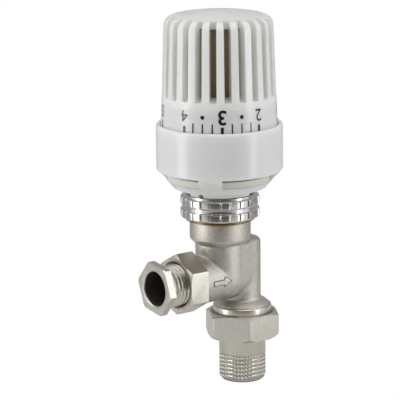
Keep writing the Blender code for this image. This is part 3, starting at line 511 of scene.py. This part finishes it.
pick()
bpy.ops.mesh.primitive_circle_add(vertices=len(ARROW), radius=mm, fill_type="NGON")
arrow = bpy.context.object
arrow.name = "flow_arrow"
for point, (x, z) in zip(arrow.data.vertices, ARROW):
    point.co = (x * mm, z * mm, 0)
bpy.ops.object.mode_set(mode="EDIT")
bpy.ops.mesh.select_all(action="SELECT")
bpy.ops.mesh.inset(thickness=ARROW_EDGE)
for way, start, cuts in zip(((1, 0, 0), (0, 1, 0)), ARROW_START, ARROW_CUTS):
    for i in range(cuts):
        at = (start + ARROW_GRID * i) * mm
        bpy.ops.mesh.select_all(action="SELECT")
        bpy.ops.mesh.bisect(plane_co=[at * part for part in way], plane_no=way)
bpy.ops.object.mode_set(mode="OBJECT")
arrow_rim = [Vector((x * mm, z * mm)) for x, z in ARROW]


def inward(x, z):
    """Distance of a point of the arrow from its outline."""
    nearest = 1.0
    for start, end in zip(arrow_rim, arrow_rim[1:] + arrow_rim[:1]):
        along = end - start
        share = max(0, min(1, (Vector((x, z)) - start).dot(along) / along.dot(along)))
        nearest = min(nearest, (Vector((x, z)) - start - share * along).length)
    return nearest


# Faces close to the arrow's outline are marked for the darker nickel, painted shade at the foot of the
# raised edge.
shaded_foot = [inward(*face.center[:2]) < 0.8 * ARROW_EDGE for face in arrow.data.polygons]
for point in arrow.data.vertices:
    x, z = point.co.x, point.co.y
    lift = ARROW_LIFT * min(1, inward(x, z) / ARROW_EDGE) - 0.06 * mm
    hit = casting.ray_cast((x, -30 * mm, z), (0, 1, 0))[1]
    point.co = (x, hit.y - lift, z)
bpy.ops.object.mode_set(mode="EDIT")
bpy.ops.mesh.select_all(action="SELECT")
bpy.ops.mesh.normals_make_consistent(inside=False)
bpy.ops.object.mode_set(mode="OBJECT")
complete(arrow, blasted_nickel, "valve", "nickel_body", "valve_body", crease=30)
# Second material, the darker nickel: painted shade on the outline's faces.
arrow.data.materials.append(arrow_foot_shade_nickel)
for face, in_shade in zip(arrow.data.polygons, shaded_foot):
    face.material_index = int(in_shade)

# ---------------------------------------------------------------- compression inlet
# The body's hexagonal socket and the hollow screw in it, which squeezes an olive on to a
# 15 mm pipe. Coarse thread shows between the two hexagons.
SOCKET_ACROSS = 23.9 * mm
SOCKET_END = 25.0 * mm
SOCKET_IN_R = 9.6 * mm
SOCKET_MOUTH_R = 10.5 * mm
GLAND_ACROSS = 21.2 * mm
GLAND_TURN = -9.0
GLAND_R = 9.3 * mm
GLAND_FACE = 33.1 * mm
GLAND_END = 36.4 * mm
GLAND_BORE_R = 7.7 * mm
GLAND_PITCH = 1.95 * mm
GLAND_THREAD_DEPTH = 0.75 * mm
LINING = 0.05 * mm          # the bore's darkened skin, painted shade, let into the screw's wall

corner = SOCKET_ACROSS / sqrt(3)
socket = turned("inlet_socket", softened([
    (SOCKET_IN_R, SOCKET_END - 1.6 * mm), (SOCKET_MOUTH_R, SOCKET_END),
    (corner - 1.6 * mm, SOCKET_END), (corner + 0.2 * mm, SOCKET_END - 1.1 * mm),
    (corner + 0.3 * mm, BARREL_END + 0.5 * mm), (corner - 0.4 * mm, BARREL_END),
    (SOCKET_IN_R, BARREL_END), (SOCKET_IN_R, SOCKET_END - 1.6 * mm)], 0.2 * mm), (0, 0))
shape(socket, solid_hexagon("bar", SOCKET_ACROSS, BARREL_END - mm, SOCKET_END + mm, 30,
                            (0, 0), 0.4 * mm), "INTERSECT")
lay_down(socket)
complete(socket, flat_nickel, "valve", "nickel_body", "valve_body")

corner = GLAND_ACROSS / sqrt(3)
gland_head = turned("gland_head", softened([
    (GLAND_BORE_R, GLAND_END - 0.5 * mm), (GLAND_BORE_R + 0.5 * mm, GLAND_END),
    (corner - 0.6 * mm, GLAND_END), (corner + 0.3 * mm, GLAND_END - 0.5 * mm),
    (corner + 0.3 * mm, GLAND_FACE + 0.4 * mm), (corner - 0.4 * mm, GLAND_FACE),
    (GLAND_BORE_R, GLAND_FACE), (GLAND_BORE_R, GLAND_END - 0.5 * mm)], 0.15 * mm), (0, 0))
shape(gland_head, solid_hexagon("bar", GLAND_ACROSS, GLAND_FACE - mm, GLAND_END + mm, GLAND_TURN,
                                (0, 0), 0.35 * mm), "INTERSECT")
lay_down(gland_head)
complete(gland_head, flat_nickel, "pipe_nut", "nickel_turned", "gland_nut")

thread_in = HEAD_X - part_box("gland_nut")[1][0]
gland_thread = turned("gland_thread", [
    (GLAND_BORE_R, GLAND_FACE + 0.4 * mm), (GLAND_R, GLAND_FACE + 0.4 * mm)]
    + rows(GLAND_R, GLAND_FACE + 0.2 * mm, thread_in + 0.4 * mm, 110)
    + [(GLAND_R - 0.5 * mm, thread_in), (GLAND_BORE_R, thread_in),
       (GLAND_BORE_R, GLAND_FACE + 0.4 * mm)], (0, 0), 120)
cut_thread(gland_thread, (0, 0), GLAND_R, GLAND_PITCH, GLAND_THREAD_DEPTH, thread_in + 0.5 * mm,
           GLAND_FACE - 0.3 * mm)
lay_down(gland_thread)
complete(gland_thread, turned_nickel, "pipe_nut", "nickel_turned", "gland_nut", crease=120)
# A thin skin inside the screw's bore that carries the painted shade.
lining = turned("gland_bore", [
    (GLAND_BORE_R - 0.03 * mm, GLAND_END - 0.6 * mm), (GLAND_BORE_R + LINING, GLAND_END - 0.6 * mm),
    (GLAND_BORE_R + LINING, thread_in), (GLAND_BORE_R - 0.03 * mm, thread_in),
    (GLAND_BORE_R - 0.03 * mm, GLAND_END - 0.6 * mm)], (0, 0), 96)
lay_down(lining)

# Dull brownish nickel in the bore: painted shade for the dim inside of the screw.
bore_shade_nickel = mottled("painted_shade_bore_nickel", "#7c776c", "#98938a", 2 * mm, 3.0, metallic=1.0,
                      roughness=0.5)
complete(lining, bore_shade_nickel, "pipe_nut", "nickel_turned", "gland_nut")

# ---------------------------------------------------------------- insert, stem and seals
# Brass insert in the neck, with a flange that shows as a thin gold rim under the coupling
# nut, and the stem, spring and seals that it guides. Only the rim can be seen.
INSERT_THREAD_R = 14.9 * mm
INSERT_FLANGE_R = 15.5 * mm
INSERT_FLANGE_H = 0.8 * mm
INSERT_FOOT_R = 9.6 * mm
INSERT_WELL_R = 6.3 * mm    # the wide lower bore, round the stem's spring
INSERT_WELL_TOP = 0.9 * mm  # above the neck
INSERT_BORE_R = 3.5 * mm

# Bare turned brass, tarnished brown in darker and lighter clouds; its tone is kept dark as painted
# shade for the rim under the coupling nut.
bare_brass = mottled("bare_brass", "#6b5430", "#937646", 1.5 * mm, 5.0, (0.22, 0.4), metallic=1.0)

insert_low, insert_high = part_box("insert_housing")
flange_z = neck_top + 0.3 * mm
insert = turned("insert_brass", softened([
    (INSERT_BORE_R, insert_high[2]), (INSERT_THREAD_R - 0.6 * mm, insert_high[2]),
    (INSERT_THREAD_R, insert_high[2] - 0.6 * mm), (INSERT_THREAD_R, flange_z + INSERT_FLANGE_H),
    (INSERT_FLANGE_R, flange_z + INSERT_FLANGE_H), (INSERT_FLANGE_R, flange_z),
    (INSERT_FOOT_R, flange_z), (INSERT_FOOT_R, insert_low[2]), (INSERT_WELL_R, insert_low[2]),
    (INSERT_WELL_R, neck_top + INSERT_WELL_TOP), (INSERT_BORE_R, neck_top + INSERT_WELL_TOP),
    (INSERT_BORE_R, insert_high[2])], 0.15 * mm, 2), head_axis)
complete(insert, bare_brass, "valve", "bare_brass", "insert_housing")

# Drawn spring steel: bright, with fine scratches along the wire.
spring_steel = mottled("drawn_steel", "#8f9092", "#bfc0c1", 0.8 * mm, 4.0, (0.2, 0.35),
                       metallic=1.0)

# Black nitrile rubber: matt, with a dusty bloom.
seal_rubber = mottled("nitrile_rubber", "#151515", "#2b2a29", 0.6 * mm, 4.0, (0.55, 0.75),
                      ior=1.52)

# Drawn copper of the wax capsule: salmon, with darker heat stains.
drawn_copper = mottled("drawn_copper", "#8a553a", "#c98a66", 3 * mm, 5.0, (0.3, 0.45),
                       metallic=1.0)


def keep(material, *nodes):
    """Gives the CAD nodes that stay as they are their material."""
    for node in nodes:
        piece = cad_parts[node]
        piece.data.materials.clear()
        piece.data.materials.append(material)


keep(bare_brass, "stuffing_screw", "valve_plug", "olive")
keep(spring_steel, "stem", "stem_collar", "spring_seat", "return_spring", "retaining_ring",
     "overtravel_spring", "spring_retainer")
keep(seal_rubber, "insert_oring", "stem_oring", "plug_washer", "tail_seal")
keep(drawn_copper, "sensor_capsule", "bellows")

# ---------------------------------------------------------------- coupling nut
# Chromed M30 nut with two knurled bands, which hangs on the head's core and draws it down
# on the insert. Twenty-four narrow V grooves run down each band.
NUT_R = 17.4 * mm
NUT_TOP_R = 16.0 * mm
NUT_HOLE_R = 12.5 * mm
NUT_BORE_R = 15.2 * mm
NUT_BAND = 4.1 * mm         # height of the lower band
NUT_WAIST = 1.6 * mm        # height of the waist between the bands
NUT_WAIST_IN = 1.0 * mm
NUT_STEP = 1.1 * mm         # height of the plain top
NUT_ROOF = 2.6 * mm         # metal over the thread
NUT_GROOVES = 24
NUT_GROOVE_TURN = 8.5
NUT_GROOVE_DEPTH = 0.5 * mm
NUT_COLUMNS = 288

# Bright chrome on a turned nut: almost a mirror, with the cold tone of chromium.
chrome = mottled("bright_chrome", "#c6c4c0", "#dddcda", 2.5 * mm, 4.0, (0.07, 0.16), metallic=1.0)

nut_low, nut_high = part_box("coupling_nut")
low, high = nut_low[2], nut_high[2]
band_1 = low + NUT_BAND
band_2 = band_1 + NUT_WAIST
shoulder = high - NUT_STEP
nut = turned("coupling_ring_nut", softened([
    (NUT_HOLE_R, high), (NUT_TOP_R, high), (NUT_TOP_R, shoulder), (NUT_R - 0.5 * mm, shoulder),
    (NUT_R, shoulder - 0.5 * mm), (NUT_R, band_2 + 0.5 * mm), (NUT_R - NUT_WAIST_IN, band_2),
    (NUT_R - NUT_WAIST_IN, band_1), (NUT_R, band_1 - 0.5 * mm), (NUT_R, low + 0.6 * mm),
    (NUT_R - 0.6 * mm, low), (NUT_BORE_R, low), (NUT_BORE_R, high - NUT_ROOF),
    (NUT_HOLE_R, high - NUT_ROOF), (NUT_HOLE_R, high)], 0.3 * mm, 3), head_axis, NUT_COLUMNS)
for point in nut.data.vertices:
    x, y = point.co.x - HEAD_X, point.co.y
    r = hypot(x, y)
    if r < NUT_R - 0.75 * mm or point.co.z > shoulder + 0.01 * mm:
        continue
    turn = (atan2(y, x) / (2 * pi) * 360 - NUT_GROOVE_TURN) * NUT_GROOVES / 360
    away = abs((turn + 0.5) % 1 - 0.5) * NUT_COLUMNS / NUT_GROOVES
    share = (r - NUT_GROOVE_DEPTH * max(0, 1 - away)) / r
    point.co.x = HEAD_X + x * share
    point.co.y = y * share
complete(nut, chrome, "head_nut", "chrome_nut", "coupling_nut", crease=25)

# ---------------------------------------------------------------- core of the head
# Fixed core of glass-filled nylon, which guides the pin. Its flange and a liner under the
# collar show as beige grey through the collar's four windows.
core_plastic = mottled("grey_nylon", "#dddbd2", "#e8e7df", 1.2 * mm, 5.0, (0.45, 0.6), ior=1.53)
keep(core_plastic, "guide_core", "thrust_pin")

# ---------------------------------------------------------------- base collar
# White moulded shell round the head's foot. Its cone has four arc windows between narrow
# bridges, its rounded rim stands round the scale band, and a lip with a small notch hangs
# over the coupling nut.
COLLAR_R = 27.8 * mm
COLLAR_BORE_R = 26.0 * mm
CONE_R = 20.3 * mm
CONE_TOP = 98.3 * mm
CONE_FOOT = 89.9 * mm
LIP_R = 16.5 * mm
LIP_FOOT = 87.5 * mm
HOLE_R = 12.5 * mm          # the core passes through it
FLOOR_LOW = 90.2 * mm
FLOOR_HIGH = 92.0 * mm
INNER_CONE_TOP = 99.0 * mm
CUTTER_IN_R = 13.5 * mm
WALL = 1.8 * mm
WINDOW_LOW = 93.4 * mm
WINDOW_HIGH = 97.8 * mm
WINDOW_ARC = 67.5
WINDOW_MIDS = (-1.5, 88.5, 178.5, 268.5)
LIP_GAP_ARC = 78.0
LIP_MIDS = (-37, 143)
NOTCH_TURN = -157.6
NOTCH_ARC = 8.5


def sector(name, inner, outer, low, high, mid, arc_angle, centre, steps=24):
    """Part of a ring between two heights, as wide as the angle about mid."""
    pick()
    start = radians(mid - arc_angle / 2)
    x, y = centre[0], centre[1]
    bpy.ops.mesh.primitive_plane_add(size=1, location=(0, 0, 0), rotation=(pi / 2, 0, 0))
    piece = bpy.context.object
    piece.name = name
    bpy.ops.object.transform_apply()
    piece.scale = (outer - inner, 1, high - low)
    piece.location = ((outer + inner) / 2, 0, (high + low) / 2)
    bpy.ops.object.transform_apply()
    piece.rotation_euler = (0, 0, start)
    piece.location = (x, y, 0)
    bpy.ops.object.transform_apply()
    bpy.ops.object.mode_set(mode="EDIT")
    bpy.ops.mesh.select_all(action="SELECT")
    bpy.ops.mesh.spin(steps=steps, angle=radians(arc_angle), center=(x, y, 0), axis=(0, 0, -1))
    bpy.ops.mesh.select_all(action="SELECT")
    bpy.ops.mesh.remove_doubles(threshold=0.001 * mm)
    bpy.ops.mesh.normals_make_consistent(inside=False)
    bpy.ops.object.mode_set(mode="OBJECT")
    return piece


# Gloss white ABS: clean injection-moulded skin, very slightly uneven in tone and gloss.
white_abs = mottled("white_abs", "#f4f3ee", "#f8f8f3", 9 * mm, 4.0, (0.14, 0.2), ior=1.54,
                    subsurface_weight=0.8, subsurface_radius=(1.0, 0.97, 0.86),
                    subsurface_scale=5 * mm)

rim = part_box("base_collar")[1][2]
collar = turned("collar_shell", [
    (COLLAR_BORE_R, rim - 0.5 * mm), (COLLAR_BORE_R + 0.15 * mm, rim - 0.15 * mm),
    (COLLAR_BORE_R + 0.5 * mm, rim)]
    + arc(COLLAR_R - 1.3 * mm, rim - 1.3 * mm, 1.3 * mm, 80, 0, 6)
    + softened([(COLLAR_R, rim - 2 * mm), (COLLAR_R, CONE_TOP), (CONE_R, CONE_FOOT),
                (LIP_R + 0.3 * mm, LIP_FOOT + 1.6 * mm), (LIP_R, LIP_FOOT + 0.4 * mm),
                (LIP_R - 0.4 * mm, LIP_FOOT), (LIP_R - 1.4 * mm, LIP_FOOT)], 0.5 * mm)[1:]
    + [(LIP_R - 1.4 * mm, FLOOR_LOW), (HOLE_R, FLOOR_LOW), (HOLE_R, FLOOR_HIGH),
       (CONE_R - 0.2 * mm, FLOOR_HIGH), (COLLAR_BORE_R, INNER_CONE_TOP),
       (COLLAR_BORE_R, rim - 0.5 * mm)], head_axis)
for mid in WINDOW_MIDS:
    shape(collar, sector("window", CONE_R - 1.2 * mm, COLLAR_R + mm, WINDOW_LOW, WINDOW_HIGH, mid,
                         WINDOW_ARC, head_axis), "DIFFERENCE")
for mid in LIP_MIDS:
    shape(collar, sector("lip_gap", CUTTER_IN_R, LIP_R + 2 * mm, LIP_FOOT - mm, LIP_FOOT + 1.5 * mm,
                         mid, LIP_GAP_ARC, head_axis), "DIFFERENCE")
shape(collar, sector("notch", CUTTER_IN_R, LIP_R + 3 * mm, LIP_FOOT - mm, LIP_FOOT + 2.2 * mm,
                     NOTCH_TURN, NOTCH_ARC, head_axis, 4), "DIFFERENCE")
complete(collar, white_abs, "valve", "white_abs", "base_collar")

liner = turned("collar_liner", softened([
    (CONE_R + 2.5 * mm, WINDOW_LOW - 0.3 * mm), (CONE_R + 3.1 * mm, WINDOW_HIGH - 1.4 * mm),
    (CONE_R + 2.2 * mm, WINDOW_HIGH - 1.4 * mm), (CONE_R + 1.4 * mm, WINDOW_LOW - 0.3 * mm),
    (CONE_R + 2.5 * mm, WINDOW_LOW - 0.3 * mm)], 0.2 * mm, 2), head_axis)
complete(liner, core_plastic, "valve", "core_plastic", "base_collar")

# ---------------------------------------------------------------- sensor carrier
# Acetal carrier that holds the wax capsule, coloured brownish olive as painted shade. With the wheel's
# threaded sleeve it is the brown shape that shows in the shade between the ribs.
painted_shade_acetal = mottled("painted_shade_acetal", "#a39473", "#b5a684", 2 * mm, 4.0, (0.4, 0.55), ior=1.48)
keep(painted_shade_acetal, "sensor_carrier")

# ---------------------------------------------------------------- handwheel
# White moulded cap with twenty-four deep ribs over a scale band, open between the ribs to
# let room air in, and a threaded sleeve inside that carries the sensor up and down.
WHEEL_R = 25.5 * mm
RIB_FOOT_R = 24.95 * mm
RIB_TOP_R = 23.9 * mm
RIB_IN_R = 17.4 * mm
SLEEVE_R = 15.6 * mm
SLEEVE_BORE_R = 14.0 * mm
SLEEVE_FOOT = 112.0 * mm
LEDGE_R = 12.5 * mm         # the ledge inside the sleeve's foot
LEDGE_TOP = 113.8 * mm
CORNER_R = 4.3 * mm
CROWN = 1.9 * mm            # rise of the domed top
GROOVE_R = 18.9 * mm        # floor of the grooves between the ribs
SLOT_W = 3.1 * mm
SLOT_TURN = 1.5
SLOT_LOW = 130.9 * mm
SLOT_HIGH = 165.7 * mm
BAND_TOP = SLOT_LOW - 0.6 * mm
BAND_TOP_R = RIB_FOOT_R + 0.12 * mm
SLOT_RISE = 1.7 * mm        # how far a groove's foot climbs inwards
WINDOW_Z = (132.5 * mm, 162.2 * mm)
RIBS = 24

wheel_low, wheel_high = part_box("handwheel")
top = wheel_high[2]
corner_z = top - CROWN - CORNER_R
edge = RIB_TOP_R - CORNER_R
wheel = turned("wheel_cap",
               [(edge * i / 8, top - CROWN * (i / 8) ** 2) for i in range(8)]
               + arc(edge, corner_z, CORNER_R, 90, 0, 10)
               + [(RIB_FOOT_R, SLOT_LOW), (BAND_TOP_R, BAND_TOP),
                  (WHEEL_R, rim + mm), (WHEEL_R, wheel_low[2]), (WHEEL_R - WALL, wheel_low[2]),
                  (WHEEL_R - WALL, SLOT_LOW - 4 * mm), (RIB_IN_R, SLOT_LOW - 1.2 * mm),
                  (RIB_IN_R, SLOT_HIGH - 2.5 * mm), (0, SLOT_HIGH - 2.5 * mm)],
               head_axis)


def wedge(name, inner, outer, wide, low, high, rise):
    """Upright block on the +X side whose foot climbs by rise from outer to inner."""
    pick()
    bpy.ops.mesh.primitive_cube_add(size=1, location=((inner + outer) / 2, 0, (low + high) / 2))
    block = bpy.context.object
    block.name = name
    block.scale = (outer - inner, wide, high - low)
    bpy.ops.object.transform_apply()
    for point in block.data.vertices:
        if point.co.x < (inner + outer) / 2 and point.co.z < (low + high) / 2:
            point.co.z += rise
    return block


def all_round(block, count, first):
    """Copies of a block set evenly round the head, as one piece."""
    copies = []
    for i in range(count):
        copy = block.copy()
        copy.data = block.data.copy()
        bpy.context.scene.collection.objects.link(copy)
        copy.rotation_euler = (0, 0, radians(first + i * 360 / count))
        copy.location = (HEAD_X, 0, 0)
        copies.append(copy)
    bpy.data.objects.remove(block)
    pick(*copies)
    bpy.ops.object.transform_apply()
    bpy.ops.object.join()
    return bpy.context.object


outer = WHEEL_R + mm
slope = SLOT_RISE / (RIB_FOOT_R - GROOVE_R)
grooves = wedge("groove", GROOVE_R, outer, SLOT_W, SLOT_LOW - slope * (outer - RIB_FOOT_R),
                SLOT_HIGH, slope * (outer - GROOVE_R))
shape(wheel, all_round(grooves, RIBS, SLOT_TURN), "DIFFERENCE")
windows = wedge("window", RIB_IN_R - mm, outer - mm, SLOT_W - 0.05 * mm, *WINDOW_Z, 0)
shape(wheel, all_round(windows, RIBS, SLOT_TURN), "DIFFERENCE")
complete(wheel, white_abs, "wheel", "white_abs", "handwheel")

# The sleeve is drawn as its own piece in the carrier's brownish olive instead of the cap's white:
# painted shade for the dim inside between the ribs.
sleeve = turned("wheel_sleeve", softened([
    (SLEEVE_R, SLOT_HIGH - 2.7 * mm), (SLEEVE_R, SLEEVE_FOOT), (LEDGE_R, SLEEVE_FOOT),
    (LEDGE_R, LEDGE_TOP), (SLEEVE_BORE_R, LEDGE_TOP), (SLEEVE_BORE_R, SLOT_HIGH - 2.7 * mm),
    (SLEEVE_R, SLOT_HIGH - 2.7 * mm)], 0.2 * mm, 2), head_axis)
complete(sleeve, painted_shade_acetal, "wheel", "carrier_plastic", "handwheel")

# ---------------------------------------------------------------- scale printed on the band
# Pad-printed numbers, dots and strokes, upside down to someone who looks from the front,
# as the valve often lies on its side. Each mark is a skin of ink wrapped round the band.
NUMBER_STEP = 39.0
NUMBER_TURN = -124.6        # where the three stands
NUMBER_Z = 125.05 * mm
STAR_TALL = 4.0 * mm
FIGURE_TALL = 5.2 * mm
SETTING_TALL = 6.5 * mm     # the three, the usual setting, is larger and bolder
FIGURES = "*12345"          # from frost protection to the warmest
BOLD = 0.018
DOT_ACROSS = 1.75 * mm
STROKE_FOOT = 115.6 * mm
STROKE_TOP = 120.9 * mm
STROKE_W = 1.25 * mm
FINE_TOP = 122.3 * mm
FINE_W = 0.6 * mm
INK_LIFT = 0.03 * mm
INK_CUT = 0.45 * mm         # steps in which a mark is bent


def band_radius(z):
    """Radius of the scale band's skin at a height."""
    share = (z - rim - mm) / (BAND_TOP - rim - mm)
    return WHEEL_R + max(0, min(1, share)) * (BAND_TOP_R - WHEEL_R)


def wrap(piece, turn, middle_z):
    """Bends a flat mark on the XY plane round the band, turned head down."""
    pick(piece)
    bpy.ops.object.mode_set(mode="EDIT")
    width = max(abs(v.co.x) for v in piece.data.vertices)
    cuts = max(1, int(width / INK_CUT))
    for i in range(-cuts, cuts + 1):
        bpy.ops.mesh.select_all(action="SELECT")
        bpy.ops.mesh.bisect(plane_co=(i * width / (cuts + 0.5), 0, 0), plane_no=(1, 0, 0))
    bpy.ops.mesh.select_all(action="SELECT")
    bpy.ops.mesh.bisect(plane_co=(0, middle_z - rim - mm, 0), plane_no=(0, 1, 0))
    bpy.ops.object.mode_set(mode="OBJECT")
    for point in piece.data.vertices:
        z = middle_z - point.co.y
        r = band_radius(z) + INK_LIFT
        angle = radians(turn) - point.co.x / r
        point.co = (HEAD_X + r * cos(angle), r * sin(angle), z)


def number(text, turn, height, bold):
    """A printed figure, as thick as its strokes are."""
    pick()
    bpy.ops.object.text_add(location=(0, 0, 0))
    figure = bpy.context.object
    figure.data.body = text
    figure.data.align_x = "CENTER"
    figure.data.align_y = "CENTER"
    figure.data.offset = bold
    figure.data.resolution_u = 4
    bpy.ops.object.convert(target="MESH")
    figure = bpy.context.object
    xs = [v.co.x for v in figure.data.vertices]
    ys = [v.co.y for v in figure.data.vertices]
    size = height / (max(ys) - min(ys))
    for point in figure.data.vertices:
        point.co = ((point.co.x - (max(xs) + min(xs)) / 2) * size,
                    (point.co.y - (max(ys) + min(ys)) / 2) * size, 0)
    wrap(figure, turn, NUMBER_Z)
    return figure


def stroke(turn, width, low, high):
    """A printed upright stroke of the scale."""
    pick()
    bpy.ops.mesh.primitive_plane_add(size=1, location=(0, 0, 0))
    mark = bpy.context.object
    mark.scale = (width, high - low, 1)
    bpy.ops.object.transform_apply()
    wrap(mark, turn, (low + high) / 2)
    return mark


def dot(turn, across):
    """A printed dot, half way between two numbers."""
    pick()
    bpy.ops.mesh.primitive_circle_add(vertices=24, radius=across / 2, fill_type="NGON")
    mark = bpy.context.object
    wrap(mark, turn, NUMBER_Z)
    return mark


marks = []
for i, figure in enumerate(FIGURES):
    turn = NUMBER_TURN + (i - 3) * -NUMBER_STEP
    tall = SETTING_TALL if i == 3 else (FIGURE_TALL if i else STAR_TALL)
    marks.append(number(figure, turn, tall, BOLD if i == 3 else 0.0))
    marks.append(stroke(turn, STROKE_W, STROKE_FOOT, STROKE_TOP))
    if i in (2, 3):
        marks.append(dot(turn - NUMBER_STEP / 2, DOT_ACROSS))
        for quarter in (1, 2, 3):
            marks.append(stroke(turn - quarter * NUMBER_STEP / 4, FINE_W, STROKE_FOOT, FINE_TOP))
pick(*marks)
bpy.ops.object.join()
scale_print = bpy.context.object
scale_print.name = "scale_print"

# Black printing ink: dense, slightly glossy, with a little wear in the film.
black_ink = mottled("black_ink", "#151514", "#2a2a27", 0.5 * mm, 4.0, (0.12, 0.2), ior=1.5)
complete(scale_print, black_ink, "wheel", None)
